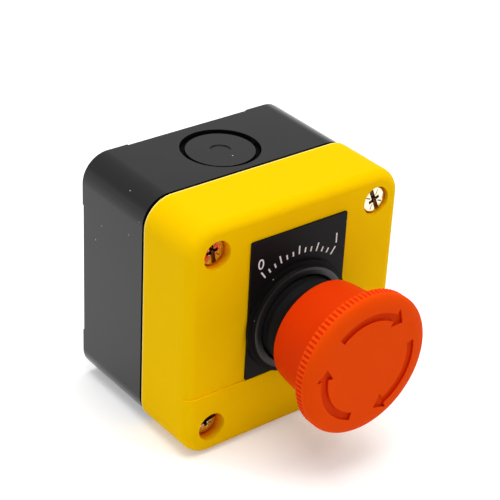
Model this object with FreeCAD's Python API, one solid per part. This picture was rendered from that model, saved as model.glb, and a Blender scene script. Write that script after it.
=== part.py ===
import FreeCAD, Part
import math
import os

from FreeCAD import Vector

# Emergency stop station for wall mounting, in millimetres.
# The origin is the centre of the back mounting plane, the button points along -Y, and Z is up.

# Box
box_size = 68.0
cover_depth = 19.7
base_depth = 29.2
corner_r = 8.2
front_round = 3.0
base_inset = 0.45
cover_wall = 3.0
cover_front = 2.6
base_wall = 2.4
base_floor = 2.6
seam_gap = 0.6
seam_width = 1.05
seal_width = 1.1
seal_depth = 1.0
pad_size = 14.0
pad_height = 0.45

# Cover screws
screw_edge = 8.3
screw_r = 1.95
screw_length = 25.0
screw_head_r = 3.65
screw_head_h = 2.2
screw_crown = 0.35
well_clear = 0.4
well_depth = 5.8
column_wall = 1.75
sink_upper_left = 2.3
sink_upper_right = 0.9
sink_lower = 2.9

# Wall holes and knock-outs
wall_pitch_x = 32.0
wall_pitch_z = 48.0
wall_hole_r = 2.25
wall_ring = 1.8
knockout_r = 10.9
knockout_groove = 1.5
knockout_sink = 0.5
knockout_web = 0.7
knockout_tab = 2.0
knockout_tab_sink = 0.7
dimple_r = 2.9
dimple_depth = 0.3

# Legend plate and the raised band below it
plate_w = 31.0
plate_h = 41.1
plate_t = 0.6
plate_below = 15.0
plate_corner = 0.5
band_height = 0.5

# Bezel and barrel
barrel_r = 11.0
barrel_wall = 2.4
barrel_length = 15.1
flange_out = 5.1
flange_h = 1.1
flange_slope = 0.2
lip_out = 3.6
lip_h = 1.3
lip_width = 2.1
lip_draft = 0.3
lip_bevel = 0.45
lip_bevel_out = 0.84
lip_bevel_in = 0.42
gasket_out = 3.7
gasket_width = 2.2
gasket_t = 0.5
key_w = 3.0
key_h = 1.0
nut_wall = 3.6
nut_h = 4.5
nut_notch_r = 1.2
nut_notches = 12

# Travel and latch
travel = 4.5
overtravel = 0.4
detent_wire = 1.0
detent_gap = 0.3
detent_groove = 0.9
detent_half = 8.5
detent_bends = 10

# Stem
collar_step = 3.5
collar_h = 4.0
collar_show = 2.0
head_gap = 7.3
spigot_step = 2.3
spigot_length = 12.4
stem_key_w = 2.8
stem_key_h = 1.0
push_plate_t = 2.0
push_screw_r = 2.0
push_screw_length = 10.0
push_screw_head_r = 3.4

# Mushroom head
head_r = 19.7
neck_r = 14.9
neck_flare = 1.5
neck_length = 14.0
neck_lead = 0.6
rim_slope = 1.0
rim_h = 2.4
edge_round = 2.0
edge_width = 3.8
head_wall = 1.8
head_face = 3.0
boss_wall = 2.4
teeth = 90
tooth_depth = 0.55
tooth_land = 0.45
tooth_flank = 0.15
arrows = 3
arrow_r = 14.0
arrow_w = 2.1
arrow_head_w = 5.2
arrow_sweep = 75.0
arrow_head_sweep = 13.0
arrow_start = 131.0
arrow_depth = 0.9

# Snap ring, springs and boot
snap_t = 1.0
snap_grip = 0.8
snap_out = 1.0
snap_opening = 40.0
snap_end = 2.0
return_wire = 0.45
return_turns = 2.5
twist_wire = 1.0
twist_turns = 3.0
twist_leg = 1.6
boot_wall = 0.9
boot_wave = 0.63
boot_folds = 2

# Contact carrier
carrier_ring = 5.0
carrier_wall = 2.3
carrier_plate_t = 2.0
carrier_plate_h = 38.0
set_screw_r = 1.5
block_screw_r = 1.25
block_screw_length = 6.0
block_screw_head_r = 2.3
block_screw_head_h = 1.6
block_screw_z = 15.6

# Contact blocks
block_w = 13.0
block_h = 36.0
block_d = 21.5
block_split = 0.6
block_wall = 1.3
lid_t = 1.4
chamber_half = 9.5
button_w = 4.4
button_h = 5.6
button_length = 16.4
strip_t = 0.8
strip_w = 5.0
strip_inner = 4.2
strip_end = 1.0
terminal_z = 14.2
terminal_y = 10.8
tip_r = 1.3
tip_t = 0.5
tip_z = 5.8
bridge_w = 3.2
bridge_length = 15.0
closed_bar = 8.2
open_bar = 4.4
clamp_w = 5.6
clamp_h = 5.4
clamp_t = 1.0
terminal_screw_r = 1.45
terminal_screw_length = 6.0
terminal_head_r = 2.5
terminal_head_h = 2.2
post_r = 1.0
post_h = 2.4
contact_wire = 0.4
contact_turns = 6.0

# Clearances
hole_clear = 0.15
slide_clear = 0.3
thread_clear = 0.05
fit_clear = 0.1
seat_clear = 0.2
coil_clear = 0.4
boss_clear = 0.6
push_plate_clear = 0.75

# Places along Y, from the back to the front
seam_y = -base_depth
face_y = seam_y - cover_depth
inner_y = face_y + cover_front
plate_y = face_y - plate_t
barrel_end = plate_y + barrel_length
nut_end = inner_y + nut_h
detent_y = nut_end + fit_clear + detent_wire / 2
carrier_y = detent_y + detent_wire / 2 + fit_clear
foot_y = barrel_end + push_plate_t
block_y = foot_y + travel + overtravel
block_end = block_y + block_d
lip_y = plate_y - flange_h - lip_h
neck_y = lip_y - head_gap
collar_y = neck_y + collar_show
spigot_y = collar_y - collar_h
rim_y = neck_y - neck_length - rim_slope
head_y = rim_y - rim_h - edge_round

# Radii and widths that follow from a fit
panel_hole_r = barrel_r + hole_clear
bore_r = barrel_r - barrel_wall
stem_r = bore_r - slide_clear
collar_r = stem_r + collar_step
spigot_r = stem_r - spigot_step
flange_r = barrel_r + flange_out
lip_r = barrel_r + lip_out
recess_r = lip_r - lip_width
gasket_r = barrel_r + gasket_out
carrier_r = barrel_r + thread_clear
push_plate_r = carrier_r - push_plate_clear
block_x = (block_w + block_split) / 2
corner = box_size / 2 - screw_edge
well_r = screw_head_r + well_clear
base_size = box_size - 2 * base_inset
base_corner_r = corner_r - base_inset
band_top = -plate_below - seat_clear


def box(x0, x1, y0, y1, z0, z1):
    return Part.makeBox(x1 - x0, y1 - y0, z1 - z0, Vector(x0, y0, z0))


def disc(radius, y0, y1, x=0.0, z=0.0):
    return Part.makeCylinder(radius, y1 - y0, Vector(x, y0, z), Vector(0, 1, 0))


def tube(inner, outer, y0, y1, x=0.0, z=0.0):
    return disc(outer, y0, y1, x, z).cut(disc(inner, y0, y1, x, z))


def rounded(width, height, radius, y0, y1, z=0.0):
    """Prism along Y on a rectangle with round corners, centred on x = 0."""
    solid = box(-width / 2, width / 2, y0, y1, z - height / 2, z + height / 2)
    upright = [e for e in solid.Edges if abs(e.Vertexes[0].Y - e.Vertexes[1].Y) > (y1 - y0) / 2]
    return solid.makeFillet(radius, upright)


def turned(points):
    """Solid of revolution about Y. A point is (r, y), or (middle r, middle y, r, y) at the end of an arc."""
    edges = []
    start = Vector(points[0][-2], points[0][-1], 0)
    here = start
    for point in points[1:] + points[:1]:
        there = Vector(point[-2], point[-1], 0)
        if len(point) == 4:
            edges.append(Part.Arc(here, Vector(point[0], point[1], 0), there).toShape())
        elif (there - here).Length > 0:
            edges.append(Part.makeLine(here, there))
        here = there
    face = Part.Face(Part.Wire(edges))
    return face.revolve(Vector(0, 0, 0), Vector(0, 1, 0), 360)


def soften(solid, size, wanted):
    return solid.makeFillet(size, [e for e in solid.Edges if wanted(e)])


def in_plane(edge, y):
    return all(abs(v.Y - y) < 1e-6 for v in edge.Vertexes) and edge.BoundBox.YLength < 1e-6


def mirrored(solid, plane_normal):
    return solid.mirror(Vector(0, 0, 0), plane_normal)


def corners(half_x, half_z):
    return [(sx * half_x, sz * half_z) for sx in (-1, 1) for sz in (1, -1)]


def bent_wire(path, wire, across):
    """Square wire along straight runs, mitred where they meet; across is one side's first direction."""
    runs = [(b - a).normalize() for a, b in zip(path, path[1:])]
    mitres = [runs[0]] + [(a + b).normalize() for a, b in zip(runs, runs[1:])] + [runs[-1]]
    along = runs[0].cross(across).normalize()
    half = wire / 2
    rings = [[path[0] + across * (a * half) + along * (b * half)
              for a, b in ((1, 1), (-1, 1), (-1, -1), (1, -1))]]
    for point, run, mitre in zip(path[1:], runs, mitres[1:]):
        rings.append([p + run * ((point - p).dot(mitre) / run.dot(mitre)) for p in rings[-1]])
    faces = [Part.Face(Part.makePolygon(end + end[:1])) for end in (rings[0], rings[-1])]
    for a, b in zip(rings, rings[1:]):
        for k in range(4):
            n = (k + 1) % 4
            faces.append(Part.Face(Part.makePolygon([a[k], a[n], b[n], b[k], a[k]])))
    solid = Part.makeSolid(Part.makeShell(faces))
    return solid if solid.Volume > 0 else solid.reversed()


def coil_path(mean_r, wire, turns, y0, y1, x=0.0, steps=10):
    """Corners of a coil about Y whose flats lie at the mean radius, from y0 to y1."""
    count = int(round(turns * steps))
    low, high = y0 + wire / 2 + seat_clear, y1 - wire / 2 - seat_clear
    radius = mean_r / math.cos(math.pi / steps)
    path = []
    for i in range(count + 1):
        angle = 2 * math.pi * i / steps
        rise = low + (high - low) * i / count
        path.append(Vector(x + radius * math.cos(angle), rise, radius * math.sin(angle)))
    return path


def screw(head_r, head_h, shank_r, length, top, x, z, toward=1):
    """Screw along Y with its head's top at y = top; toward is the way the shank points."""
    head_end, shank_end = top + toward * head_h, top + toward * (head_h + length)
    head = disc(head_r, min(top, head_end), max(top, head_end), x, z)
    return head.fuse(disc(shank_r, min(head_end, shank_end), max(head_end, shank_end), x, z))


def make_base():
    relief_y = -pad_height
    solid = rounded(base_size, base_size, base_corner_r, seam_y + seam_width, relief_y)
    rim = rounded(base_size - 2 * seam_gap, base_size - 2 * seam_gap, base_corner_r - seam_gap,
                  seam_y, seam_y + seam_width)
    solid = solid.fuse(rim)
    pads = rounded(base_size, base_size, base_corner_r, relief_y, 0)
    reach = base_size / 2 - pad_size
    pads = pads.cut(box(-reach, reach, relief_y, 0, -box_size, box_size))
    pads = pads.cut(box(-box_size, box_size, relief_y, 0, -reach, reach))
    solid = solid.fuse(pads)
    inside = base_size - 2 * base_wall
    hollow = rounded(inside, inside, base_corner_r - base_wall, seam_y, relief_y - base_floor)
    boss_r = well_r + column_wall
    for x, z in corners(corner, corner):
        hollow = hollow.cut(disc(boss_r, seam_y, relief_y, x, z))
    solid = solid.cut(hollow)
    for x, z in corners(corner, corner):
        solid = solid.cut(disc(screw_r + thread_clear, seam_y, relief_y - base_floor, x, z))
    for x, z in corners(wall_pitch_x / 2, wall_pitch_z / 2):
        solid = solid.fuse(disc(wall_hole_r + wall_ring, relief_y - base_floor, 0, x, z))
        solid = solid.cut(disc(wall_hole_r, relief_y - base_floor, 0, x, z))
    tool = make_knockout((seam_y + relief_y) / 2)
    solid = solid.cut(tool)
    return solid.cut(mirrored(tool, Vector(0, 0, 1))).removeSplitter()


def make_knockout(y):
    """What is cut from the top wall: sunk disc, groove round it with two low tabs, and a centre mark."""
    top = base_size / 2
    sunk = Part.makeCylinder(knockout_r, knockout_sink, Vector(0, y, top - knockout_sink))
    groove_floor = top - base_wall + knockout_web
    deep = top - groove_floor
    groove = Part.makeCylinder(knockout_r, deep, Vector(0, y, groove_floor))
    groove = groove.cut(Part.makeCylinder(knockout_r - knockout_groove, deep, Vector(0, y, groove_floor)))
    tab_top = top - knockout_sink - knockout_tab_sink
    tabs = box(-box_size, box_size, y - knockout_tab / 2, y + knockout_tab / 2, groove_floor, tab_top)
    mark_z = top - knockout_sink - dimple_depth
    mark = Part.makeCylinder(dimple_r, dimple_depth, Vector(0, y, mark_z))
    return sunk.fuse(groove.cut(tabs)).fuse(mark)


def make_cover():
    def slab(front):
        solid = rounded(box_size, box_size, corner_r, front, seam_y)
        return soften(solid, front_round, lambda e: in_plane(e, front))

    solid = slab(face_y)
    band = slab(face_y - band_height)
    band = band.common(box(-box_size, box_size, face_y - band_height, seam_y, -box_size, band_top))
    solid = solid.fuse(band)
    inside = box_size - 2 * cover_wall
    hollow = rounded(inside, inside, corner_r - cover_wall, inner_y, seam_y)
    for x, z in corners(corner, corner):
        hollow = hollow.cut(disc(well_r + column_wall, inner_y, seam_y, x, z))
    solid = solid.cut(hollow)
    for x, z in corners(corner, corner):
        solid = solid.cut(disc(well_r, face_y - band_height, face_y + well_depth, x, z))
        solid = solid.cut(disc(screw_r + hole_clear, face_y, seam_y, x, z))
    solid = solid.cut(disc(panel_hole_r, face_y - band_height, inner_y))
    solid = solid.cut(make_key(hole_clear, face_y - band_height, inner_y))
    return solid.cut(make_seal(fit_clear / 2)).removeSplitter()


def make_seal(clear):
    outer = base_size - 2 * seam_gap - 2 * seat_clear + 2 * clear
    inner = outer - 2 * seal_width - 4 * clear
    radius = base_corner_r - seam_gap - seat_clear + clear
    floor = seam_y - seal_depth - clear
    ring = rounded(outer, outer, radius, floor, seam_y)
    return ring.cut(rounded(inner, inner, radius - seal_width - 2 * clear, floor, seam_y))


def make_key(clear, y0, y1):
    return box(-key_w / 2 - clear, key_w / 2 + clear, y0, y1, bore_r + slide_clear, barrel_r + key_h + clear)


def make_cover_screws():
    sinks = [sink_upper_left, sink_lower, sink_upper_right, sink_lower]
    screws = []
    for sink, (x, z) in zip(sinks, corners(corner, corner)):
        top = face_y + sink
        solid = screw(screw_head_r, screw_head_h, screw_r, screw_length, top, x, z)
        screws.append(solid.makeChamfer(screw_crown, [e for e in solid.Edges if in_plane(e, top)]))
    return Part.makeCompound(screws)


def make_plate():
    solid = rounded(plate_w, plate_h, plate_corner, plate_y, face_y, plate_h / 2 - plate_below)
    solid = solid.cut(disc(panel_hole_r, plate_y, face_y))
    return solid.cut(make_key(hole_clear, plate_y, face_y))


def make_bezel():
    flange_y = plate_y - flange_h
    solid = turned([
        (bore_r, barrel_end), (barrel_r, barrel_end), (barrel_r, plate_y), (flange_r, plate_y),
        (flange_r, flange_y + flange_slope), (lip_r + lip_draft, flange_y), (lip_r, lip_y + lip_bevel),
        (lip_r - lip_bevel_out, lip_y), (recess_r + lip_bevel_in, lip_y), (recess_r, lip_y + lip_bevel),
        (recess_r, flange_y), (bore_r, flange_y)])
    solid = solid.fuse(make_key(0.0, flange_y, inner_y - seat_clear))
    seat_in, seat_out = gasket_r - gasket_width - fit_clear, gasket_r + fit_clear
    solid = solid.cut(tube(seat_in, seat_out, plate_y - gasket_t, plate_y))
    legs = box(stem_r, barrel_r, detent_y - detent_wire, detent_y + detent_wire, -detent_half, detent_half)
    solid = solid.cut(legs).cut(mirrored(legs, Vector(1, 0, 0)))
    return solid.cut(make_stem_key(slide_clear / 2, face_y, barrel_end)).removeSplitter()


def make_stem_key(clear, y0, y1):
    half = stem_key_w / 2 + clear
    return box(-half, half, y0, y1, -stem_r - stem_key_h - clear, -spigot_r)


def make_panel_gasket():
    return tube(gasket_r - gasket_width, gasket_r, plate_y - gasket_t, plate_y)


def make_lock_nut():
    outer = barrel_r + nut_wall
    solid = tube(barrel_r + thread_clear, outer, inner_y, nut_end)
    for i in range(nut_notches):
        angle = 2 * math.pi * i / nut_notches
        x, z = outer * math.cos(angle), outer * math.sin(angle)
        solid = solid.cut(disc(nut_notch_r, inner_y, nut_end, x, z))
    return solid


def make_detent_spring():
    """Hairpin wire: two straight legs beside the stem, joined by a bow over the barrel."""
    x = stem_r + detent_gap + detent_wire / 2
    bow_r = barrel_r + detent_wire
    low = detent_wire - detent_half
    first = math.acos(x / bow_r)
    bow = [first + (math.pi - 2 * first) * i / detent_bends for i in range(detent_bends + 1)]
    path = [Vector(x, detent_y, low)]
    path += [Vector(bow_r * math.cos(a), detent_y, bow_r * math.sin(a)) for a in bow]
    path.append(Vector(-x, detent_y, low))
    return bent_wire(path, detent_wire, Vector(0, 1, 0))


def make_stem():
    groove_y = detent_y - travel
    half = detent_groove
    spigot_end = spigot_y - spigot_length
    snap_y = spigot_end + snap_end
    core_r = spigot_r - snap_grip
    solid = turned([
        (0, spigot_end), (spigot_r - seat_clear, spigot_end), (spigot_r, spigot_end + seat_clear),
        (spigot_r, snap_y - snap_t), (core_r, snap_y - snap_t), (core_r, snap_y + fit_clear),
        (spigot_r, snap_y + fit_clear), (spigot_r, spigot_y), (collar_r, spigot_y), (collar_r, collar_y),
        (stem_r, collar_y), (stem_r, groove_y - half), (stem_r - detent_groove, groove_y - half / 2),
        (stem_r - detent_groove, groove_y + half / 2), (stem_r, groove_y + half), (stem_r, barrel_end),
        (0, barrel_end)])
    key_start = groove_y + half + seat_clear
    solid = solid.fuse(make_stem_key(0.0, key_start, barrel_end))
    hole = disc(push_screw_r + thread_clear, barrel_end - push_screw_length - seat_clear, barrel_end)
    leg = twist_path()[-1]
    leg_hole = disc(twist_wire, spigot_y, leg.y + seat_clear, leg.x, leg.z)
    return solid.cut(hole).cut(leg_hole)


def twist_radius():
    return spigot_r + slide_clear + boss_wall + boss_clear + twist_wire / 2


def make_snap_ring():
    snap_y = spigot_y - spigot_length + snap_end
    inner = spigot_r - snap_grip + thread_clear
    ring = tube(inner, spigot_r + snap_out, snap_y - snap_t + fit_clear / 2, snap_y)
    half = math.radians(snap_opening / 2)
    reach = head_r
    wedge = Part.makePolygon([Vector(0, snap_y - snap_t, 0),
                              Vector(reach * math.sin(half), snap_y - snap_t, reach * math.cos(half)),
                              Vector(-reach * math.sin(half), snap_y - snap_t, reach * math.cos(half)),
                              Vector(0, snap_y - snap_t, 0)])
    return ring.cut(Part.Face(wedge).extrude(Vector(0, snap_t, 0)))


def make_push_plate():
    solid = disc(push_plate_r, barrel_end, foot_y)
    solid = solid.cut(disc(push_screw_r + hole_clear, barrel_end, foot_y))
    sink = push_screw_head_r - push_screw_r
    cone = Part.makeCone(push_screw_r, push_screw_head_r + hole_clear, sink + hole_clear,
                         Vector(0, foot_y - sink - hole_clear, 0), Vector(0, 1, 0))
    return solid.cut(cone)


def make_push_plate_screw():
    sink = push_screw_head_r - push_screw_r
    return turned([(0, foot_y), (push_screw_head_r, foot_y), (push_screw_r, foot_y - sink),
                   (push_screw_r, barrel_end - push_screw_length), (0, barrel_end - push_screw_length)])


def make_head():
    cavity_r = neck_r - head_wall
    face_in = head_y + head_face
    boss_in = spigot_r + slide_clear
    boss_out = boss_in + boss_wall
    boss_y = spigot_y - seat_clear
    core = head_r - tooth_depth - fit_clear
    flat_r = core - edge_width
    crown_r = (edge_width ** 2 + edge_round ** 2) / (2 * edge_round)
    half_turn = math.asin(edge_width / crown_r) / 2
    crown = (flat_r + crown_r * math.sin(half_turn), head_y + crown_r * (1 - math.cos(half_turn)))
    solid = turned([
        (neck_r - neck_lead, neck_y), (neck_r, neck_y - neck_lead),
        (neck_r + neck_flare, neck_y - neck_length), (core, rim_y), (core, rim_y - rim_h),
        (*crown, flat_r, head_y), (0, head_y), (0, face_in), (boss_in, face_in), (boss_in, boss_y),
        (boss_out, boss_y), (boss_out, face_in), (cavity_r + neck_flare, face_in), (cavity_r, neck_y)])
    knurl = []
    root_r = head_r - tooth_depth
    tooth = ((0, head_r), (tooth_land, head_r), (tooth_land + tooth_flank, root_r), (1 - tooth_flank, root_r))
    for i in range(teeth):
        for share, radius in tooth:
            angle = 2 * math.pi * (i + share) / teeth
            knurl.append(Vector(radius * math.cos(angle), rim_y, radius * math.sin(angle)))
    band = Part.Face(Part.makePolygon(knurl + knurl[:1])).extrude(Vector(0, -rim_h, 0))
    band = band.cut(disc(root_r - head_wall, rim_y - rim_h, rim_y))
    solid = solid.fuse(band)
    ring_y = spigot_y - spigot_length + snap_end
    groove_r = spigot_r + snap_out + slide_clear
    solid = solid.cut(disc(groove_r, ring_y - snap_t - slide_clear, ring_y + slide_clear))
    rib_half = twist_wire
    rib_x = twist_radius()
    rib_end = coil_front() - seat_clear * 2
    rib = box(-rib_x - twist_wire, seat_clear - boss_out, face_in - seat_clear, rib_end, -rib_half, rib_half)
    solid = solid.fuse(rib)
    for i in range(arrows):
        solid = solid.cut(arrow_pocket(arrow_start - 360.0 * i / arrows))
    return solid.removeSplitter()


def coil_front():
    return spigot_y - seat_clear - twist_wire * (twist_turns + 1) - seat_clear


def arrow_pocket(start):
    """Curved arrow along a circle on the face, clockwise seen from the front."""
    def at(radius, degrees):
        angle = math.radians(degrees)
        return Vector(radius * math.cos(angle), head_y, radius * math.sin(angle))

    inner, outer = arrow_r - arrow_w / 2, arrow_r + arrow_w / 2
    neck = start - arrow_sweep
    middle = start - arrow_sweep / 2
    edges = [Part.Arc(at(outer, start), at(outer, middle), at(outer, neck)).toShape(),
             Part.makeLine(at(outer, neck), at(arrow_r + arrow_head_w / 2, neck)),
             Part.makeLine(at(arrow_r + arrow_head_w / 2, neck), at(arrow_r, neck - arrow_head_sweep)),
             Part.makeLine(at(arrow_r, neck - arrow_head_sweep), at(arrow_r - arrow_head_w / 2, neck)),
             Part.makeLine(at(arrow_r - arrow_head_w / 2, neck), at(inner, neck)),
             Part.Arc(at(inner, neck), at(inner, middle), at(inner, start)).toShape(),
             Part.makeLine(at(inner, start), at(outer, start))]
    return Part.Face(Part.Wire(edges)).extrude(Vector(0, arrow_depth, 0))


def make_return_spring():
    mean = stem_r + coil_clear + return_wire / 2
    path = coil_path(mean, return_wire, return_turns, collar_y, plate_y - flange_h)
    return bent_wire(path, return_wire, Vector(1, 0, 0))


def make_twist_spring():
    return bent_wire(twist_path(), twist_wire, Vector(1, 0, 0))


def twist_path():
    """Coil round the head's boss, with its last end bent back into the collar."""
    path = coil_path(twist_radius(), twist_wire, twist_turns, coil_front(), spigot_y)
    end = path[-1]
    return path + [Vector(end.x, spigot_y + twist_leg, end.z)]


def make_boot():
    """Rubber sleeve with shallow folds between the bezel's recess and the stem's collar."""
    low, high = plate_y - flange_h, collar_y
    outer = recess_r - seat_clear
    step = (high - low) / (2 * boot_folds)
    outside = [(outer - (boot_wave if i % 2 else 0), low + step * i) for i in range(2 * boot_folds + 1)]
    inside = [(r - boot_wall, y) for r, y in reversed(outside)]
    return turned(outside + inside)


def make_carrier():
    ring_end = carrier_y + carrier_ring
    outer = carrier_r + carrier_wall
    plate_y0 = block_y - carrier_plate_t
    half_w = block_x + block_w / 2
    solid = disc(outer, carrier_y, block_y)
    solid = solid.fuse(box(-half_w, half_w, plate_y0, block_y, -carrier_plate_h / 2, carrier_plate_h / 2))
    solid = solid.cut(disc(carrier_r, carrier_y, block_y))
    screw_y = (carrier_y + ring_end) / 2
    for way in (1, -1):
        solid = solid.cut(Part.makeCylinder(set_screw_r + thread_clear, outer, Vector(0, screw_y, 0),
                                            Vector(0, 0, way)))
    for x, z in corners(block_x, block_screw_z):
        solid = solid.cut(disc(block_screw_r + hole_clear, plate_y0, block_y, x, z))
    return solid


def make_carrier_screws():
    screw_y = carrier_y + carrier_ring / 2
    start = barrel_r + thread_clear / 2
    length = carrier_wall + seat_clear
    return Part.makeCompound([Part.makeCylinder(set_screw_r, length, Vector(0, screw_y, way * start),
                                                Vector(0, 0, way)) for way in (1, -1)])


def make_block_screws():
    top = block_y - carrier_plate_t - block_screw_head_h
    return Part.makeCompound([
        screw(block_screw_head_r, block_screw_head_h, block_screw_r, block_screw_length, top, x, z)
        for x, z in corners(block_x, block_screw_z)])


def terminal_ledge():
    return block_end - terminal_y


def make_case(x):
    x0, x1 = x - block_w / 2, x + block_w / 2
    half = block_h / 2
    lid_y = block_end - lid_t
    pocket = chamber_half + block_wall
    solid = box(x0, x1, block_y, lid_y, -half, half)
    solid = solid.cut(box(x0 + block_wall, x1 - block_wall, block_y + block_wall, lid_y,
                          -chamber_half, chamber_half))
    ledge = terminal_ledge()
    slot_half = strip_w / 2 + fit_clear
    for way in (1, -1):
        z0, z1 = sorted((way * pocket, way * half))
        solid = solid.cut(box(x0 + block_wall, x1 - block_wall, ledge, lid_y, z0, z1))
        w0, w1 = sorted((way * chamber_half, way * pocket))
        solid = solid.cut(box(x - slot_half, x + slot_half, ledge, ledge + strip_t + fit_clear, w0, w1))
        solid = solid.cut(disc(terminal_screw_r + thread_clear, ledge + clamp_t + strip_t
                               - terminal_screw_length - seat_clear, ledge, x, way * terminal_z))
        solid = solid.cut(disc(block_screw_r + thread_clear, block_y, block_y + block_screw_length, x,
                               way * block_screw_z))
    guide_x, guide_z = button_w / 2 + hole_clear, button_h / 2 + hole_clear
    return solid.cut(box(x - guide_x, x + guide_x, block_y, block_y + block_wall, -guide_z, guide_z))


def make_lid(x):
    lid_y = block_end - lid_t
    pocket = chamber_half + block_wall
    solid = box(x - block_w / 2, x + block_w / 2, lid_y, block_end, -pocket, pocket)
    return solid.fuse(disc(post_r, lid_y - post_h, lid_y, x, 0))


def make_button(x, bar_y):
    end = foot_y + button_length
    solid = box(x - button_w / 2, x + button_w / 2, foot_y, end, -button_h / 2, button_h / 2)
    half = bridge_w / 2 + fit_clear / 2
    return solid.cut(box(x - half, x + half, bar_y, bar_y + strip_t + fit_clear, -button_h, button_h))


def make_bridge(x, bar_y, tips_forward):
    half_w, half_l = bridge_w / 2, bridge_length / 2
    solid = box(x - half_w, x + half_w, bar_y, bar_y + strip_t, -half_l, half_l)
    tip_y = bar_y - tip_t if tips_forward else bar_y + strip_t
    for way in (1, -1):
        solid = solid.fuse(disc(tip_r, tip_y, tip_y + tip_t, x, way * tip_z))
    return solid


def make_strips(x, level, tips_back):
    """Two terminal strips; each runs level at the terminal and steps to its contact tip inside."""
    ledge = terminal_ledge()
    outer = block_h / 2 - strip_end
    bend = chamber_half - strip_t
    profile = [(ledge, outer), (ledge + strip_t, outer), (ledge + strip_t, bend - strip_t),
               (level + strip_t, bend - strip_t), (level + strip_t, strip_inner), (level, strip_inner),
               (level, bend), (ledge, bend)]
    if abs(level - ledge) < strip_t:
        profile = profile[:2] + [(ledge + strip_t, strip_inner), (ledge, strip_inner)]
    corners_3d = [Vector(x - strip_w / 2, y, z) for y, z in profile]
    solid = Part.Face(Part.makePolygon(corners_3d + corners_3d[:1])).extrude(Vector(strip_w, 0, 0))
    solid = solid.cut(disc(terminal_screw_r + thread_clear, ledge, ledge + strip_t, x, terminal_z))
    tip_y = level + strip_t if tips_back else level - tip_t
    solid = solid.fuse(disc(tip_r, tip_y, tip_y + tip_t, x, tip_z))
    return Part.makeCompound([solid, mirrored(solid, Vector(0, 0, 1))])


def make_clamps(x):
    seat = terminal_ledge() + strip_t
    solid = box(x - clamp_w / 2, x + clamp_w / 2, seat, seat + clamp_t,
                terminal_z - clamp_h / 2, terminal_z + clamp_h / 2)
    solid = solid.cut(disc(terminal_screw_r + hole_clear, seat, seat + clamp_t, x, terminal_z))
    return Part.makeCompound([solid, mirrored(solid, Vector(0, 0, 1))])


def make_terminal_screws(x):
    top = terminal_ledge() + strip_t + clamp_t + terminal_head_h
    return Part.makeCompound([
        screw(terminal_head_r, terminal_head_h, terminal_screw_r, terminal_screw_length, top, x, z, -1)
        for z in (terminal_z, -terminal_z)])


def make_contact_spring(x):
    mean = post_r + seat_clear + contact_wire / 2
    path = coil_path(mean, contact_wire, contact_turns, foot_y + button_length, block_end - lid_t, x, 8)
    return bent_wire(path, contact_wire, Vector(1, 0, 0))


nodes = {
    "base_box": make_base(),
    "cover_gasket": make_seal(0.0),
    "cover": make_cover(),
    "cover_screws": make_cover_screws(),
    "legend_plate": make_plate(),
    "panel_gasket": make_panel_gasket(),
    "bezel": make_bezel(),
    "lock_nut": make_lock_nut(),
    "detent_spring": make_detent_spring(),
    "plunger_stem": make_stem(),
    "head_snap_ring": make_snap_ring(),
    "push_plate": make_push_plate(),
    "push_plate_screw": make_push_plate_screw(),
    "return_spring": make_return_spring(),
    "twist_spring": make_twist_spring(),
    "dust_boot": make_boot(),
    "mushroom_head": make_head(),
    "contact_carrier": make_carrier(),
    "carrier_screws": make_carrier_screws(),
    "block_screws": make_block_screws(),
}

# The closed pair parts when the bridge is pushed off its strips; the open pair meets at full travel.
closed_y = block_y + closed_bar
open_y = block_y + open_bar
closed_level = closed_y - 2 * tip_t - strip_t
open_level = open_y + strip_t + 2 * tip_t + travel + fit_clear
for name, x, bar_y, level, closed in (("nc", -block_x, closed_y, closed_level, True),
                                      ("no", block_x, open_y, open_level, False)):
    nodes[name + "_case"] = make_case(x)
    nodes[name + "_lid"] = make_lid(x)
    nodes[name + "_plunger"] = make_button(x, bar_y)
    nodes[name + "_bridge"] = make_bridge(x, bar_y, closed)
    nodes[name + "_fixed_contacts"] = make_strips(x, level, closed)
    nodes[name + "_terminal_clamps"] = make_clamps(x)
    nodes[name + "_terminal_screws"] = make_terminal_screws(x)
    nodes[name + "_spring"] = make_contact_spring(x)

os.makedirs("parts", exist_ok=True)
for name, shape in nodes.items():
    shape.exportStep("parts/" + name + ".step")
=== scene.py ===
import math

import bmesh
import bpy
from mathutils import Matrix, Vector


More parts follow.
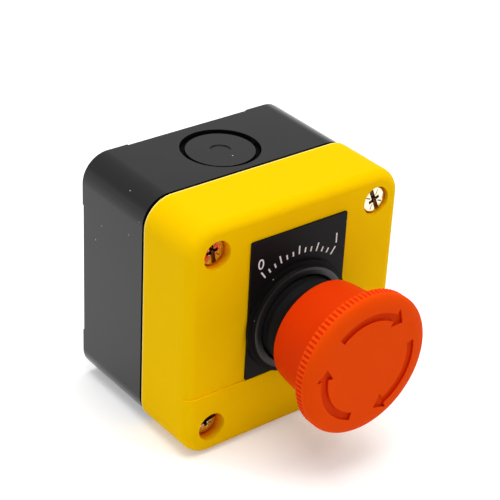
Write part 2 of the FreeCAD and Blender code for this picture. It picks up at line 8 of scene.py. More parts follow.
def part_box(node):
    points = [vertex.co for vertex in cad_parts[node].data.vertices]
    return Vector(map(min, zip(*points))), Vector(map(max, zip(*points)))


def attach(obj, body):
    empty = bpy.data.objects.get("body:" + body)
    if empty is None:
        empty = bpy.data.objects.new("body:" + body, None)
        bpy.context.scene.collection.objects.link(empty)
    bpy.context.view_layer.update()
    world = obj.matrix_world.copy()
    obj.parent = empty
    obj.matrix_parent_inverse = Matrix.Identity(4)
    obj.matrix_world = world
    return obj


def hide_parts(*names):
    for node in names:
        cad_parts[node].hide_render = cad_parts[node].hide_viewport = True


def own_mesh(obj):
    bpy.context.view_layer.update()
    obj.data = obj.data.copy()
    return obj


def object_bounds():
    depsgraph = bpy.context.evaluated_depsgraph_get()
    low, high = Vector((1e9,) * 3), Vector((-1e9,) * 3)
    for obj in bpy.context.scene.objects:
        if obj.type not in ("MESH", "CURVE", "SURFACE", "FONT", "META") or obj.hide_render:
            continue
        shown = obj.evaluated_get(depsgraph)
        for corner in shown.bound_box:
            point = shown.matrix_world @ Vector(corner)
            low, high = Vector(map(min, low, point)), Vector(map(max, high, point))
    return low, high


# Emergency stop station: a black and yellow wall box, a legend plate and a red mushroom button.
# Metres, in the part's own frame: the wall is y = 0, the button points along -Y and Z is up.
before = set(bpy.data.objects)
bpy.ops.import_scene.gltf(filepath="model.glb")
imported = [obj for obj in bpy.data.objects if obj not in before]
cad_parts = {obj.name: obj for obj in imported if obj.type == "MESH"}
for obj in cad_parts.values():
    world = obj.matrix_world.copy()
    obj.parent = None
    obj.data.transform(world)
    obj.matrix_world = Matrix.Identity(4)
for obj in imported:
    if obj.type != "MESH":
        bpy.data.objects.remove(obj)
cad_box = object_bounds()
mm = 0.001

# Base box
# The back half of the housing, injection-moulded in black ABS: a tray with four screw columns, wall holes
# and a knock-out in its top and bottom walls. The tool's edges leave every corner slightly rounded.
base_edge = 0.22 * mm
seam_width = 1.05 * mm
seam_widening = 0.35 * mm
seam_reach = 1.5 * base_edge
knockout_y = -14.8 * mm
knockout_reach = 11.1 * mm
groove_top, groove_floor = 0.6 * mm, 2.0 * mm
dimple_reach = 3.2 * mm
base_black, base_flow = "#171718", "#1f1f20"
# Painted shade: a deeper black for the seam's step and the knock-out grooves.
groove_shade_black, groove_shade_flow = "#080808", "#0b0b0b"
dust_white = "#b9b7b2"
plastic_ior = 1.5
mottle_size = 9 * mm
gloss_drift = 0.05
grain_strength = 0.6
weld = 0.001 * mm
flat_angle, sharp_angle, crease_angle = (math.radians(a) for a in (0.5, 35.0, 40.0))


def linear(code):
    """Turns an sRGB hex colour into linear RGBA."""
    parts = [int(code[i:i + 2], 16) / 255 for i in (1, 3, 5)]
    return [c / 12.92 if c <= 0.04045 else ((c + 0.055) / 1.055) ** 2.4 for c in parts] + [1.0]


def add(tree, kind, inputs, **settings):
    """Adds one shader node: settings are its properties, inputs are values or sockets to link."""
    made = tree.nodes.new("ShaderNode" + kind)
    for key, value in settings.items():
        setattr(made, key, value)
    for key, value in inputs.items():
        if isinstance(value, bpy.types.NodeSocket):
            tree.links.new(value, made.inputs[key])
        else:
            made.inputs[key].default_value = value
    return made


def new_finish(name, **values):
    """Makes a material whose shader has its constant sockets set; gives the material, tree and shader."""
    material = bpy.data.materials.new(name)
    material.use_nodes = True
    shader = material.node_tree.nodes["Principled BSDF"]
    for key, value in values.items():
        shader.inputs[key.replace("_", " ")].default_value = value
    return material, material.node_tree, shader


def moulded(name, colour, flow, rough, grain, depth, specular=0.5):
    """Moulded plastic: one dyed colour with faint flow mottling and the grain of the mould's face.

    The real grain is too fine for the render, so it is drawn coarse enough to show.
    """
    material, tree, shader = new_finish(name, Specular_IOR_Level=specular, IOR=plastic_ior)
    where = add(tree, "TexCoord", {}).outputs["Object"]
    mottle = add(tree, "TexNoise", {"Vector": where, "Scale": 1 / mottle_size, "Detail": 4.0}).outputs["Fac"]
    tint = add(tree, "Mix", {"Factor": mottle, "A": linear(colour), "B": linear(flow)}, data_type="RGBA")
    pits = add(tree, "TexNoise", {"Vector": where, "Scale": 1 / grain, "Detail": 2.0}).outputs["Fac"]
    gloss = add(tree, "MapRange", {"Value": mottle, "To Min": rough - gloss_drift,
                                   "To Max": rough + gloss_drift})
    bump = add(tree, "Bump", {"Height": pits, "Distance": depth, "Strength": grain_strength})
    tree.links.new(tint.outputs["Result"], shader.inputs["Base Color"])
    tree.links.new(gloss.outputs["Result"], shader.inputs["Roughness"])
    tree.links.new(bump.outputs["Normal"], shader.inputs["Normal"])
    return material


def dusted(material, colour, spacing, size):
    """Adds settled dust: sparse pale specks on a moulded finish."""
    tree = material.node_tree
    shader = tree.nodes["Principled BSDF"]
    under = shader.inputs["Base Color"].links[0].from_socket
    where = tree.nodes["Texture Coordinate"].outputs["Object"]
    distance = add(tree, "TexVoronoi", {"Vector": where, "Scale": 1 / spacing}).outputs["Distance"]
    speck = add(tree, "Math", {0: distance, 1: size / spacing}, operation="LESS_THAN").outputs["Value"]
    tint = add(tree, "Mix", {"Factor": speck, "A": under, "B": linear(colour)}, data_type="RGBA")
    tree.links.new(tint.outputs["Result"], shader.inputs["Base Color"])
    return material


def softened(node, width):
    """A copy of a moulding's solid, merged to whole faces, with its sharp edges rounded."""
    bm = bmesh.new()
    bm.from_mesh(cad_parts[node].data)
    bmesh.ops.remove_doubles(bm, verts=bm.verts, dist=weld)
    bmesh.ops.dissolve_limit(bm, angle_limit=flat_angle, verts=bm.verts, edges=bm.edges)
    edges = [e for e in bm.edges if e.is_manifold and e.calc_face_angle() > sharp_angle]
    bmesh.ops.bevel(bm, geom=edges, offset=width, offset_type="OFFSET", affect="EDGES", segments=2,
                    profile=0.5, material=-1, clamp_overlap=True)
    return bm


def piece(name, bm, finishes, body, slot, *nodes):
    """Shows a bmesh as a piece, smooth between its creases, that rides on a body and stands for nodes."""
    mesh = bpy.data.meshes.new(name)
    bm.to_mesh(mesh)
    bm.free()
    mesh.shade_smooth()
    mesh.set_sharp_from_angle(angle=crease_angle)
    for finish in finishes:
        mesh.materials.append(finish)
    made = bpy.data.objects.new(name, mesh)
    bpy.context.scene.collection.objects.link(made)
    made.modifiers.new("face_weights", "WEIGHTED_NORMAL").keep_sharp = True
    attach(made, body)
    if nodes:
        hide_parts(*nodes)
    return made


# Satin ABS mirrors the pale table as a grey veil over near-black, and shows every grain of dust.
black_abs = dusted(
    moulded("black_abs_satin", base_black, base_flow, rough=0.17, grain=0.5 * mm, depth=0.006 * mm,
            specular=0.262),
    dust_white, spacing=5.5 * mm, size=0.2 * mm)
# In the step behind the cover and round the knock-outs the black is painted darker and duller: painted shade
# in the gap and the groove, on a rougher finish.
painted_shade_abs = moulded("black_abs_painted_shade", groove_shade_black, groove_shade_flow, rough=0.8, grain=0.5 * mm, depth=0.01 * mm,
                    specular=0.04)
base_low, base_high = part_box("base_box")
base = softened("base_box", base_edge)
# The step behind the cover is opened a little further than the solid's, and with its painted shade it reads
# as a dark line all round.
step_back = base_low.y + seam_width
for v in base.verts:
    if abs(v.co.y - step_back) < seam_reach:
        v.co.y += seam_widening
# Faces in the seam's step and in the knock-out grooves get the painted shade.
for face in base.faces:
    middle = face.calc_center_median()
    off_axis = math.hypot(middle.x, middle.y - knockout_y)
    sunk = base_high.z - abs(middle.z)
    in_groove = dimple_reach < off_axis < knockout_reach and groove_top < sunk < groove_floor
    in_seam = middle.y < step_back + seam_widening + base_edge
    face.material_index = 1 if in_groove or in_seam else 0
piece("base_moulding", base, [black_abs, painted_shade_abs], "station", "black_abs", "base_box")

# Cover seal
# A flat cord of black rubber in the cover's groove; the base's rim presses it when the screws are tight.
rubber_black, rubber_bloom = "#0c0c0c", "#141313"


def dressed(material, *nodes):
    """Gives the solids that stay as they are their finish."""
    for name in nodes:
        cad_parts[name].material_slots[0].material = material


# Rubber is matt, with a faint pale bloom.
black_rubber = moulded("black_rubber_matt", rubber_black, rubber_bloom, rough=0.75, grain=0.3 * mm,
                       depth=0.01 * mm, specular=0.12)
dressed(black_rubber, "cover_gasket")

# Cover
# The front half of the housing, moulded in yellow ABS: a deep lid with a round front edge, a raised band
# along its foot and four wells for its screws.
cover_edge = 0.28 * mm
corner = 25.7 * mm
well_reach = 4.2 * mm
well_depth = 3.0 * mm
rim_highlight_width = 0.45 * mm
cover_yellow, cover_flow = "#f1bf00", "#f3c300"
# Painted highlight for the thin rim at the seam.
rim_highlight_yellow = "#ffe27a"
# Painted light: the orange the walls of the wells bounce onto each other.
well_bounce_orange = "#ff8600"


def toned(material, colour, start, end):
    """Lets a moulded finish drift to another colour from y = start to y = end."""
    tree = material.node_tree
    shader = tree.nodes["Principled BSDF"]
    under = shader.inputs["Base Color"].links[0].from_socket
    where = tree.nodes["Texture Coordinate"].outputs["Object"]
    along = add(tree, "SeparateXYZ", {"Vector": where}).outputs["Y"]
    share = add(tree, "MapRange", {"Value": along, "From Min": start, "From Max": end}).outputs["Result"]
    tint = add(tree, "Mix", {"Factor": share, "A": under, "B": linear(colour)}, data_type="RGBA")
    tree.links.new(tint.outputs["Result"], shader.inputs["Base Color"])
    return material


# The yellow is dense and barely mottled, with a low sheen, so it keeps its hue right up to the edges; only
# the thin rim at the seam is painted pale, as a painted highlight. Deeper in, the walls of the wells are
# painted orange, as painted light that the walls bounce onto each other.
cover_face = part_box("legend_plate")[1].y
yellow_abs = toned(
    moulded("yellow_abs_low_sheen_painted_rim", cover_yellow, cover_flow, rough=0.5, grain=0.6 * mm, depth=0.008 * mm,
            specular=0.008),
    rim_highlight_yellow, start=base_low.y - rim_highlight_width, end=base_low.y - rim_highlight_width / 2)
well_bounce_abs = toned(
    moulded("yellow_abs_painted_bounce", cover_yellow, cover_flow, rough=0.4, grain=0.6 * mm, depth=0.004 * mm,
            specular=0.02),
    well_bounce_orange, start=cover_face, end=cover_face + well_depth)
cover = softened("cover", cover_edge)
# Faces in the wells get the yellow with the painted bounce light.
for face in cover.faces:
    middle = face.calc_center_median()
    off_well = math.hypot(abs(middle.x) - corner, abs(middle.z) - corner)
    face.material_index = 1 if off_well < well_reach and middle.y > cover_face + cover_edge else 0
piece("cover_moulding", cover, [yellow_abs, well_bounce_abs], "station", "yellow_abs", "cover")

# Cover screws
# Four pan-head screws of zinc-plated steel, each with a slot right across, a cross in the middle and four
# thin marks between its arms. They were driven to different depths and stopped at different angles.
head_radius = 3.65 * mm
head_height = 2.2 * mm
head_edge = 0.4 * mm
shank_radius = 1.95 * mm
shank_length = 25.0 * mm
screw_steps = 48
edge_steps = 4
slot_width = 1.3 * mm
slot_depth = 1.0 * mm
cross_width = 0.94 * mm
cross_reach = 1.75 * mm
cross_depth = 1.9 * mm
cross_lean = 0.155 * mm
mark_width = 0.38 * mm
mark_depth = 0.25 * mm
mark_lean = 0.03 * mm
mark_from, mark_to = 1.35 * mm, 2.95 * mm
recess_edge = 0.06 * mm
recess_angle = math.radians(60)
recess_from, recess_to = 0.9 * mark_depth, head_height - 0.02 * mm
top_slack = 0.01 * mm
pole_weld = 0.0001 * mm
cloud_size = 1.5 * mm
zinc, zinc_dark = "#fbf6ea", "#dccba4"
# Painted shade for the slot, the cross and the marks.
recess_shade_brown, recess_shade_dark = "#ab8a54", "#6d5532"
# Each screw's place on the cover, how deep it is sunk and how far it is turned, in degrees.
screw_places = ((-corner, corner, 2.3 * mm, 78), (corner, corner, 0.9 * mm, 67),
                (-corner, -corner, 2.55 * mm, -16), (corner, -corner, 2.9 * mm, 40))


def lathe(profile, steps, closed=True):
    """Spins an outline of (radius, y) points about the Y axis into a closed skin."""
    bm = bmesh.new()
    points = [bm.verts.new((r, y, 0)) for r, y in profile]
    lines = [bm.edges.new(pair) for pair in zip(points, points[1:])]
    if closed:
        lines.append(bm.edges.new((points[-1], points[0])))
    bmesh.ops.spin(bm, geom=points + lines, cent=(0, 0, 0), axis=(0, 1, 0), angle=2 * math.pi, steps=steps,
                   use_merge=True)
    bmesh.ops.remove_doubles(bm, verts=bm.verts, dist=pole_weld)
    bmesh.ops.recalc_face_normals(bm, faces=bm.faces)
    return bm


def arc(centre, radii, start, end, steps):
    """Points on an ellipse about (r, y), from start to end in degrees; 0 is outward and 90 is along -Y."""
    turns = [math.radians(start + (end - start) * i / steps) for i in range(steps + 1)]
    return [(centre[0] + radii[0] * math.cos(a), centre[1] - radii[1] * math.sin(a)) for a in turns]


def turned(bm, verts, turn, axis="Y"):
    """Turns part of a mesh about an axis, in degrees."""
    bmesh.ops.rotate(bm, verts=verts, cent=(0, 0, 0), matrix=Matrix.Rotation(math.radians(turn), 3, axis))


def bar(start, end, width, depth, lean, turn):
    """A tool that sinks a bar from x = start to end into a head whose top is y = 0, turned about the axis.

    Its walls lean in on all sides, by lean from the top of the head to the floor.
    """
    bm = bmesh.new()
    half_way = (start + end) / 2
    bmesh.ops.create_cube(bm, size=1.0)
    bmesh.ops.scale(bm, vec=(end - start, 2 * depth, width), verts=bm.verts)
    bmesh.ops.translate(bm, vec=(half_way, 0, 0), verts=bm.verts)
    for v in bm.verts:
        inward = math.copysign(lean, v.co.y)
        v.co.x -= inward * math.copysign(1, v.co.x - half_way)
        v.co.z -= inward * math.copysign(1, v.co.z)
    turned(bm, bm.verts, turn)
    return bm


def carved(bm, cutter):
    """Cuts one closed mesh out of another."""
    made = []
    for part in (bm, cutter):
        mesh = bpy.data.meshes.new("carving")
        part.to_mesh(mesh)
        part.free()
        made.append(bpy.data.objects.new("carving", mesh))
        bpy.context.scene.collection.objects.link(made[-1])
    cut = made[0].modifiers.new("cut", "BOOLEAN")
    cut.object = made[1]
    cut.operation = "DIFFERENCE"
    cut.solver = "EXACT"
    result = bmesh.new()
    result.from_object(made[0], bpy.context.evaluated_depsgraph_get())
    for part in made:
        mesh = part.data
        bpy.data.objects.remove(part)
        bpy.data.meshes.remove(mesh)
    return result


def make_screw():
    """One screw along +Y with the top of its head at y = 0."""
    crown = arc((head_radius - head_edge, head_edge), (head_edge, head_edge), 90, 0, edge_steps)
    end = head_height + shank_length
    shank = [(head_radius, head_height), (shank_radius, head_height), (shank_radius, end), (0, end)]
    bm = lathe([(0, 0)] + crown + shank, screw_steps, closed=False)
    bm = carved(bm, bar(-2 * head_radius, 2 * head_radius, slot_width, slot_depth, 0.0, 0))
    for turn in (0, 90):
        bm = carved(bm, bar(-cross_reach, cross_reach, cross_width, cross_depth, cross_lean, turn))
    for turn in (45, 135, 225, 315):
        bm = carved(bm, bar(mark_from, mark_to, mark_width, mark_depth, mark_lean, turn))
    mouth = [e for e in bm.edges if e.is_manifold and max(v.co.y for v in e.verts) < top_slack
             and e.calc_face_angle() > recess_angle]
    bmesh.ops.bevel(bm, geom=mouth, offset=recess_edge, offset_type="OFFSET", affect="EDGES", segments=2,
                    profile=0.5, material=-1, clamp_overlap=True)
    bmesh.ops.dissolve_degenerate(bm, dist=weld, edges=bm.edges)
    bmesh.ops.dissolve_limit(bm, angle_limit=flat_angle, verts=bm.verts, edges=bm.edges)
    # Faces deep in the slot, the cross and the marks get the painted shade.
    for face in bm.faces:
        middle = face.calc_center_bounds()
        inside = math.hypot(middle.x, middle.z) < head_radius - head_edge
        face.material_index = 1 if inside and recess_from < middle.y < recess_to else 0
    bmesh.ops.triangulate(bm, faces=bm.faces)
    return bm


def plated(name, bright, dull, smooth, rough):
    """Plated or drawn metal: two tones and two polishes that drift into each other like clouds."""
    material, tree, shader = new_finish(name, Metallic=1.0)
    where = add(tree, "TexCoord", {}).outputs["Object"]
    cloud = add(tree, "TexNoise", {"Vector": where, "Scale": 1 / cloud_size, "Detail": 4.0}).outputs["Fac"]
    tint = add(tree, "Mix", {"Factor": cloud, "A": linear(bright), "B": linear(dull)}, data_type="RGBA")
    gloss = add(tree, "MapRange", {"Value": cloud, "To Min": smooth, "To Max": rough})
    tree.links.new(tint.outputs["Result"], shader.inputs["Base Color"])
    tree.links.new(gloss.outputs["Result"], shader.inputs["Roughness"])
    return material


# Zinc with a pale yellow passivation; in the recess it is duller and painted a dark brown, as painted shade.
zinc_steel = plated("steel_zinc_plated", zinc, zinc_dark, smooth=0.12, rough=0.26)
recess_shade_zinc = plated("steel_zinc_painted_shade", recess_shade_brown, recess_shade_dark, smooth=0.3, rough=0.5)
one_screw = bpy.data.meshes.new("one_screw")
screw = make_screw()
screw.to_mesh(one_screw)
screw.free()
all_screws = bmesh.new()
for x, z, sunk, turn in screw_places:
    before = len(all_screws.verts)
    all_screws.from_mesh(one_screw)
    all_screws.verts.ensure_lookup_table()
    placed = all_screws.verts[before:]
    turned(all_screws, placed, turn)
    bmesh.ops.translate(all_screws, verts=placed, vec=(x, cover_face + sunk, z))
bpy.data.meshes.remove(one_screw)
piece("cover_screw_set", all_screws, [zinc_steel, recess_shade_zinc], "station", "zinc_steel", "cover_screws")

# Legend plate
# A thin metal plate, stamped, anodised black and clamped under the button's flange. Its print is a plain
# white scale: radial ticks about the button with a 0 and a 1 at its ends.
plate_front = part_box("legend_plate")[0].y
plate_edge = 0.12 * mm
plate_black, plate_flow = "#0f0e0f", "#131213"
print_white = "#e9e8e6"
print_height = 0.03 * mm
tick_count = 13
tick_spread = 72.0
tick_width = 0.45 * mm
tick_inner, tick_short, tick_long = 18.2 * mm, 19.6 * mm, 20.6 * mm
ticks_to_long = 3
digit_size = 4.2 * mm
digit_turn = 33.0
digit_r = 22.6 * mm

# The dyed skin hides the metal and shades like a dull plastic: a soft near-black on which dust shows.
black_plate = dusted(
    moulded("black_anodised_satin", plate_black, plate_flow, rough=0.5, grain=0.25 * mm, depth=0.004 * mm,
            specular=0.09),
    dust_white, spacing=4.0 * mm, size=0.16 * mm)
piece("legend_plate_face", softened("legend_plate", plate_edge), [black_plate], "station", "black_plate",
      "legend_plate")


def printed(bm, verts, radius, turn, lean):
    """Stands a mark made flat in XY up on the plate's face, leans it and moves it to its place."""
    turned(bm, verts, 90, "X")
    turned(bm, verts, lean)
    way = math.radians(turn)
    bmesh.ops.translate(bm, verts=verts, vec=(radius * math.sin(way), plate_front, radius * math.cos(way)))


marks = bmesh.new()
for i in range(tick_count):
    turn = tick_spread * (i / (tick_count - 1) - 0.5)
    outer = tick_long if i % ticks_to_long == 0 else tick_short
    tick = bmesh.ops.create_cube(marks, size=1.0)["verts"]
    bmesh.ops.scale(marks, verts=tick, vec=(tick_width, outer - tick_inner, 2 * print_height))
    printed(marks, tick, (outer + tick_inner) / 2, turn, turn)
for sign, turn in (("0", -digit_turn), ("1", digit_turn)):
    letter = bpy.data.curves.new("digit", "FONT")
    letter.body = sign
    letter.size = digit_size
    letter.extrude = print_height
    letter.align_x = letter.align_y = "CENTER"
    holder = bpy.data.objects.new("digit", letter)
    bpy.context.scene.collection.objects.link(holder)
    bpy.context.view_layer.update()
    mesh = bpy.data.meshes.new_from_object(holder)
    before = len(marks.verts)
    marks.from_mesh(mesh)
    marks.verts.ensure_lookup_table()
    bpy.data.meshes.remove(mesh)
    bpy.data.objects.remove(holder)
    bpy.data.curves.remove(letter)
    printed(marks, marks.verts[before:], digit_r, turn, 0)
# Screen ink lies thin and matt, an even warm white.
white_ink = new_finish("white_ink_matt", Roughness=0.6, Base_Color=linear(print_white))[0]
piece("legend_print", marks, [white_ink], "station", None)

# Bezel
# The moulded nylon front of the button: a flange on the plate, a raised lip round a dark recess, and the
# threaded barrel that passes through the box. A nut holds it on a rubber seal; the stem inside is nylon too.
bezel_edge = 0.12 * mm
lip_bevel = 0.45 * mm
nylon_black, nylon_flow = "#0a0a0a", "#0e0d0d"
# A lighter black for the front of the lip: a painted highlight.
lip_lit_black, lip_lit_flow = "#181818", "#1e1d1d"
# The flange is dull; the front of the lip is satin and its black is painted lighter, a painted highlight
# where the light falls on it.
black_nylon = dusted(
    moulded("black_nylon_dull", nylon_black, nylon_flow, rough=0.6, grain=0.3 * mm, depth=0.006 * mm,
            specular=0.08),
    dust_white, spacing=4.0 * mm, size=0.16 * mm)
lip_lit_nylon = dusted(
    moulded("black_nylon_satin_painted_light", lip_lit_black, lip_lit_flow, rough=0.4, grain=0.3 * mm, depth=0.006 * mm,
            specular=0.42),
    dust_white, spacing=4.0 * mm, size=0.16 * mm)
bezel = softened("bezel", bezel_edge)
lip_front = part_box("bezel")[0].y
# The front of the lip gets the painted highlight.
for face in bezel.faces:
    face.material_index = 1 if face.calc_center_median().y < lip_front + lip_bevel else 0
piece("bezel_moulding", bezel, [black_nylon, lip_lit_nylon], "station", "black_nylon", "bezel")
dressed(black_rubber, "panel_gasket")
dressed(black_nylon, "lock_nut", "plunger_stem", "push_plate")

# Dust boot
# A thin rubber sleeve with two soft folds between the bezel's recess and the stem's collar. On the real
# button it is squashed towards the bezel as the button goes in; here it keeps one shape.
boot_low, boot_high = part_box("dust_boot")
boot_wall = 0.9 * mm
boot_wave = 0.63 * mm
boot_folds = 2
boot_rows = 32
boot_steps = 96
outside = []
for i in range(boot_rows + 1):
    share = i / boot_rows
    fold = 0.5 - 0.5 * math.cos(2 * math.pi * boot_folds * share)
    outside.append((boot_high.x - boot_wave * fold, boot_high.y + (boot_low.y - boot_high.y) * share))
inside = [(r - boot_wall, y) for r, y in reversed(outside)]
boot = piece("dust_boot_sleeve", lathe(outside + inside, boot_steps), [black_rubber], "station",
             "black_rubber", "dust_boot")


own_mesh(boot)

# Mushroom head
# The red button, moulded in ABS with a fine spark-eroded face: a flared neck, a rim with ninety grip teeth
# that run out below the crown, and three sunk arrows that show the way it turns to release.
head_low, head_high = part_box("mushroom_head")
rim_r = head_high.x
neck_r = 14.9 * mm
neck_flare = 1.5 * mm
neck_length = 14.0 * mm
neck_lead = 0.5 * mm
neck_rows = 6
rim_slope = 1.0 * mm
rim_ease = 0.15 * mm
rim_height = 2.4 * mm
rim_rows = 6
crown_width = 4.4 * mm
crown_rows = 14
teeth = 90
tooth_depth = 0.3 * mm
tooth_reach = 2 * tooth_depth
tooth_fade = 0.4 * mm
tooth_back = 0.4
valley_bias = 0.2
ridge_reach = 0.45 * tooth_depth
columns_per_tooth = 8
head_wall = 1.8 * mm
face_wall = 3.0 * mm
boss_inner, boss_outer = 6.3 * mm, 8.7 * mm
boss_depth = 14.0 * mm
arrow_count = 3
arrow_r = 14.0 * mm
arrow_width = 2.1 * mm
arrow_head_width = 5.2 * mm
arrow_start, arrow_sweep, arrow_head_sweep = 131.0, 75.0, 13.0
arrow_depth = 0.9 * mm
arrow_round = 0.15 * mm
arrow_steps = 18
arrow_floor = 0.7 * arrow_depth
wall_slope = 0.4
face_red, face_flow = "#e34504", "#e54905"
neck_red, neck_flow = "#d63302", "#d93703"
# Painted shade on the walls of the arrows.
wall_shade_red, wall_shade_flow = "#cc1f01", "#d12201"
# Painted shade in the valleys between the teeth.
valley_shade_red, valley_shade_flow = "#e02d02", "#e23003"
# Painted highlight on the tops of the teeth.
ridge_highlight_red, ridge_highlight_flow = "#e54a0a", "#e74d0c"
# Painted shade on the floors of the arrows.
floor_shade_red, floor_shade_flow = "#da3903", "#dc3c03"

knurl_back = head_high.y - neck_length - rim_slope
knurl_front = knurl_back - rim_height
crown_height = knurl_front - head_low.y
face_in = head_low.y + face_wall
cavity_r = neck_r - head_wall
crown = arc((rim_r - crown_width, knurl_front), (crown_width, crown_height), 90, 0, crown_rows)
rim = [(rim_r, knurl_front + rim_height * i / rim_rows) for i in range(1, rim_rows + 1)]
neck = [(rim_r - tooth_depth, knurl_back + rim_ease), (neck_r + neck_flare, head_high.y - neck_length)]
for i in range(1, neck_rows):
    left = 1 - i / neck_rows
    neck.append((neck_r + neck_flare * left, head_high.y - neck_length * left))
neck += arc((neck_r - neck_lead, head_high.y - neck_lead), (neck_lead, -neck_lead), 0, 90, edge_steps)
hollow = [(cavity_r, head_high.y), (cavity_r + neck_flare, face_in), (boss_outer, face_in),
          (boss_outer, face_in + boss_depth), (boss_inner, face_in + boss_depth), (boss_inner, face_in)]
head = lathe(crown + rim + neck + hollow, teeth * columns_per_tooth, closed=False)
for v in head.verts:
    radius = math.hypot(v.co.x, v.co.z)
    run_out = min((v.co.y - knurl_front) / tooth_fade, tooth_back + (knurl_back - v.co.y) / tooth_fade)
    if radius > rim_r - tooth_reach and run_out > 0:
        wave = min(1.0, max(0.0, valley_bias + math.cos(teeth * math.atan2(v.co.z, v.co.x))))
        dip = tooth_depth * wave * min(1.0, run_out)
        v.co.x *= 1 - dip / radius
        v.co.z *= 1 - dip / radius
bmesh.ops.holes_fill(head, edges=head.edges, sides=0)
bmesh.ops.recalc_face_normals(head, faces=head.faces)


def arrow_outline(start, y, grow):
    """The outline of one arrow at a height, moved out by grow on all sides."""
    half = arrow_head_width / 2
    length = math.radians(arrow_head_sweep) * arrow_r
    slant = math.hypot(half, length)
    first = start + math.degrees(grow / arrow_r)
    shoulder = start - arrow_sweep + math.degrees(grow / arrow_r)
    tip = start - arrow_sweep - arrow_head_sweep - math.degrees(grow * slant / half / arrow_r)
    barb = half + grow * (slant + half) / length
    shaft = [first + (shoulder - first) * i / arrow_steps for i in range(arrow_steps + 1)]
    outline = [(arrow_r + arrow_width / 2 + grow, turn) for turn in shaft]
    outline += [(arrow_r + barb, shoulder), (arrow_r, tip), (arrow_r - barb, shoulder)]
    outline += [(arrow_r - arrow_width / 2 - grow, turn) for turn in reversed(shaft)]
    return [(r * math.cos(math.radians(turn)), y, r * math.sin(math.radians(turn))) for r, turn in outline]


def arrow_tool(start):
    """What is sunk into the face for one arrow: a curved shaft and a head, with eased mouth and floor."""
    bm = bmesh.new()
    rings = []
    for sunk, grow in ((-arrow_depth, arrow_round), (0, arrow_round), (arrow_round, 0),
                       (arrow_depth - arrow_round, 0), (arrow_depth, -arrow_round)):
        ring = [bm.verts.new(p) for p in arrow_outline(start, head_low.y + sunk, grow)]
        rings.append([bm.edges.new(pair) for pair in zip(ring, ring[1:] + ring[:1])])
    for upper, lower in zip(rings, rings[1:]):
        bmesh.ops.bridge_loops(bm, edges=upper + lower)
    bmesh.ops.holes_fill(bm, edges=bm.edges, sides=0)
    bmesh.ops.recalc_face_normals(bm, faces=bm.faces)
    return bm


for i in range(arrow_count):
    head = carved(head, arrow_tool(arrow_start - 360 * i / arrow_count))
bmesh.ops.dissolve_degenerate(head, dist=weld, edges=head.edges)

# The face has a fine matt grain that spreads the light; the neck is smoother and a deeper red. The arrow
# floors and the valleys between the teeth are painted a darker red as painted shade, the steep walls of the
# arrows darkest of all, and the tops of the teeth are painted brighter as a painted highlight.
head_finishes = [
    moulded("red_abs_fine_matt", face_red, face_flow, rough=0.5, grain=0.4 * mm, depth=0.01 * mm,
            specular=0.012),
    moulded("red_abs_smooth", neck_red, neck_flow, rough=0.42, grain=0.6 * mm, depth=0.006 * mm,
            specular=0.03),
    moulded("red_abs_painted_wall_shade", wall_shade_red, wall_shade_flow, rough=0.42, grain=0.4 * mm, depth=0.004 * mm,
            specular=0.06),
    moulded("red_abs_painted_highlight", ridge_highlight_red, ridge_highlight_flow, rough=0.45, grain=0.4 * mm, depth=0.004 * mm,
            specular=0.012),
    moulded("red_abs_painted_floor_shade", floor_shade_red, floor_shade_flow, rough=0.45, grain=0.4 * mm, depth=0.004 * mm,
            specular=0.012),
    moulded("red_abs_painted_groove_shade", valley_shade_red, valley_shade_flow, rough=0.45, grain=0.4 * mm, depth=0.004 * mm,
            specular=0.006)]
on_face, on_neck, on_wall, on_ridge, on_floor, on_valley = range(len(head_finishes))


def head_finish(face):
    """Which of the finishes a face of the head has."""
    middle = face.calc_center_median()
    radius = math.hypot(middle.x, middle.z)
    # Tooth valleys get painted shade, tooth tops a painted highlight.
    if knurl_front < middle.y < knurl_back and radius > rim_r - tooth_reach:
        return on_ridge if radius > rim_r - ridge_reach else on_valley
    if middle.y > knurl_front:
        return on_neck
    # Arrow walls and floors get painted shade.
    in_band = abs(radius - arrow_r) < arrow_head_width and middle.y < head_low.y + arrow_depth
    if in_band and abs(face.normal.y) < wall_slope:
        return on_wall
    if middle.y > head_low.y + arrow_floor and radius < arrow_r + arrow_head_width / 2:
        return on_floor
    return on_face


for face in head.faces:
    face.material_index = head_finish(face)
piece("mushroom_button", head, head_finishes, "head", "red_abs", "mushroom_head")

# Return and contact springs
# Round-wire compression springs: one under the stem's collar, and one behind each contact button. On the
# real switch they shorten as the button goes in; here each is wound once, at the length of its solid.
return_wire, return_mean, return_turns = 0.45 * mm, 8.925 * mm, 2.5
contact_wire, contact_mean, contact_turns = 0.4 * mm, 1.4 * mm, 6.0
coil_steps = 24
wire_sides = 8
spring_bright, spring_dull = "#c9cacb", "#a5a6a8"

# Drawn wire is a bright, cool grey, a little duller where the die has dragged.
spring_steel = plated("spring_steel_drawn", spring_bright, spring_dull, smooth=0.2, rough=0.36)


def coiled(node, wire, mean, turns):
    """Winds a spring in the place of a node's solid."""
    low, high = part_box(node)
    centre = (low.x + high.x) / 2
    length = high.y - low.y
    steps = round(turns * coil_steps)
    rise = (length - wire) / steps
    bm = bmesh.new()
    bmesh.ops.create_circle(bm, segments=wire_sides, radius=wire / 2,
                            matrix=Matrix.Translation((centre + mean, low.y + wire / 2, 0)))
    bmesh.ops.spin(bm, geom=bm.verts[:] + bm.edges[:], cent=(centre, 0, 0), axis=(0, 1, 0),
                   dvec=(0, rise, 0), angle=-2 * math.pi * turns, steps=steps)
    bmesh.ops.holes_fill(bm, edges=bm.edges, sides=0)
    bmesh.ops.recalc_face_normals(bm, faces=bm.faces)
    made = piece(node + "_wire", bm, [spring_steel], "station", "spring_steel", node)
    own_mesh(made)


coiled("return_spring", return_wire, return_mean, return_turns)
for side in ("nc", "no"):
    coiled(side + "_spring", contact_wire, contact_mean, contact_turns)

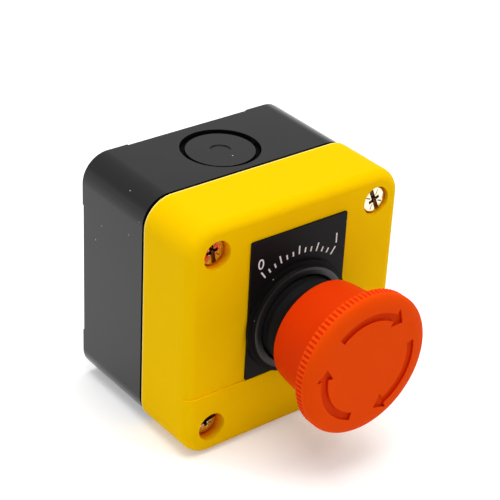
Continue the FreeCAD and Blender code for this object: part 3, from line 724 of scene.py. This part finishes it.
# Inner works
# Contact carrier and two contact blocks behind the button: nylon cases, brass strips and bridges,
# zinc-plated screws and clamps, and the two springs and the ring that are only bent.
case_grey, case_flow = "#9c9e9f", "#a6a8a9"
closed_red, closed_flow = "#c23c33", "#cb453b"
open_green, open_flow = "#3f9f58", "#47a860"
brass_bright, brass_dull = "#d9b565", "#c19a4c"

# Dyed nylon has an even colour and a soft sheen. Red marks the block that opens, green the one that closes.
grey_nylon = moulded("grey_nylon", case_grey, case_flow, rough=0.5, grain=0.5 * mm, depth=0.01 * mm)
red_nylon = moulded("red_nylon", closed_red, closed_flow, rough=0.45, grain=0.5 * mm, depth=0.01 * mm)
green_nylon = moulded("green_nylon", open_green, open_flow, rough=0.45, grain=0.5 * mm, depth=0.01 * mm)
# Stamped brass is warm and bright, with duller clouds where it was handled.
brass = plated("brass_stamped", brass_bright, brass_dull, smooth=0.22, rough=0.38)
dressed(grey_nylon, "contact_carrier", "nc_case", "no_case")
dressed(red_nylon, "nc_lid", "nc_plunger")
dressed(green_nylon, "no_lid", "no_plunger")
dressed(brass, "nc_bridge", "no_bridge", "nc_fixed_contacts", "no_fixed_contacts")
dressed(zinc_steel, "carrier_screws", "block_screws", "push_plate_screw", "nc_terminal_clamps",
        "no_terminal_clamps", "nc_terminal_screws", "no_terminal_screws")
dressed(spring_steel, "detent_spring", "head_snap_ring", "twist_spring")

# Floor, light and camera
# A white table under a large soft light, with a small one at the front right, in a pale room that is dimmer
# in front of the box than behind it. To the eye and in mirrors the table is lifted to an even white.
table_white, lift_white = "#f0f0f0", "#ffffff"
table_size = 6.0
lift_from, lift_to = 0.25, 0.9
lift_near, lift_far = 0.3, 0.7
overhead_at, overhead_size, overhead_watts = Vector((-0.02, -0.08, 0.87)), 0.7, 6.8
side_at, side_size, side_watts = Vector((0.24, -0.5, 0.6)), 0.2, 0.9
room_front, room_back, horizon = 0.06, 0.66, 1.12
room_from, room_to = -0.8, 0.6
haze_low, haze_high = 0.15, 0.35
camera_azimuth, camera_elevation, camera_roll = (math.radians(a) for a in (-38.958, 30.417, 3.039))
camera_distance = 0.440345
camera_target = Vector((0.0005, -0.0289, 0.009028))
camera_lens = 119.31
camera_clip = 0.01

# Matt white board has no shine of its own. Its lift is only seen, straight or mirrored, and lights nothing.
table, tree, shader = new_finish("table_white_matt", Roughness=0.9, Specular_IOR_Level=0.0,
                                 Base_Color=linear(table_white), Emission_Color=linear(lift_white))
where = add(tree, "TexCoord", {}).outputs["Object"]
away = add(tree, "VectorMath", {"Vector": where}, operation="LENGTH").outputs["Value"]
lift = add(tree, "MapRange", {"Value": away, "From Min": lift_from, "From Max": lift_to,
                              "To Min": lift_near, "To Max": lift_far}).outputs["Result"]
path = add(tree, "LightPath", {}).outputs
direct = add(tree, "Math", {0: path["Is Camera Ray"], 1: path["Is Glossy Ray"]}, operation="MAXIMUM")
seen = add(tree, "Math", {0: direct.outputs["Value"], 1: path["Is Transmission Ray"]}, operation="MAXIMUM")
shown = add(tree, "Math", {0: lift, 1: seen.outputs["Value"]}, operation="MULTIPLY")
tree.links.new(shown.outputs["Value"], shader.inputs["Emission Strength"])
bm = bmesh.new()
bmesh.ops.create_grid(bm, x_segments=1, y_segments=1, size=table_size / 2)
bmesh.ops.translate(bm, vec=(0, 0, cad_box[0].z), verts=bm.verts)
mesh = bpy.data.meshes.new("floor")
bm.to_mesh(mesh)
bm.free()
mesh.materials.append(table)
floor = bpy.data.objects.new("floor", mesh)
bpy.context.scene.collection.objects.link(floor)

for name, place, size, watts in (("overhead_softbox", overhead_at, overhead_size, overhead_watts),
                                 ("side_softbox", side_at, side_size, side_watts)):
    lamp = bpy.data.objects.new(name, bpy.data.lights.new(name, "AREA"))
    lamp.data.size = size
    lamp.data.energy = watts
    lamp.matrix_world = Matrix.Translation(place) @ place.to_track_quat("Z", "Y").to_matrix().to_4x4()
    bpy.context.scene.collection.objects.link(lamp)

world = bpy.data.worlds.new("pale_room")
bpy.context.scene.world = world
world.use_nodes = True
tree = world.node_tree
toward = add(tree, "TexCoord", {}).outputs["Generated"]
parts = add(tree, "SeparateXYZ", {"Vector": toward}).outputs
depth = add(tree, "MapRange", {"Value": parts["Y"], "From Min": room_from, "From Max": room_to,
                               "To Min": room_front, "To Max": room_back}).outputs["Result"]
height = add(tree, "MapRange", {"Value": parts["Z"], "From Min": haze_low,
                                "From Max": haze_high}).outputs["Result"]
level = add(tree, "Mix", {"Factor": height, "A": horizon, "B": depth})
tree.links.new(level.outputs["Result"], tree.nodes["Background"].inputs["Strength"])
tree.nodes["Background"].inputs["Color"].default_value = (1.0, 1.0, 1.0, 1.0)

back = Vector((math.sin(camera_azimuth) * math.cos(camera_elevation),
               -math.cos(camera_azimuth) * math.cos(camera_elevation), math.sin(camera_elevation)))
camera = bpy.data.objects.new("camera", bpy.data.cameras.new("camera"))
camera.data.lens = camera_lens
camera.data.clip_start = camera_clip
camera.matrix_world = (Matrix.Translation(camera_target + back * camera_distance)
                       @ back.to_track_quat("Z", "Y").to_matrix().to_4x4()
                       @ Matrix.Rotation(camera_roll, 4, "Z"))
bpy.context.scene.collection.objects.link(camera)
bpy.context.scene.camera = camera
bpy.context.scene.view_settings.view_transform = "Standard"
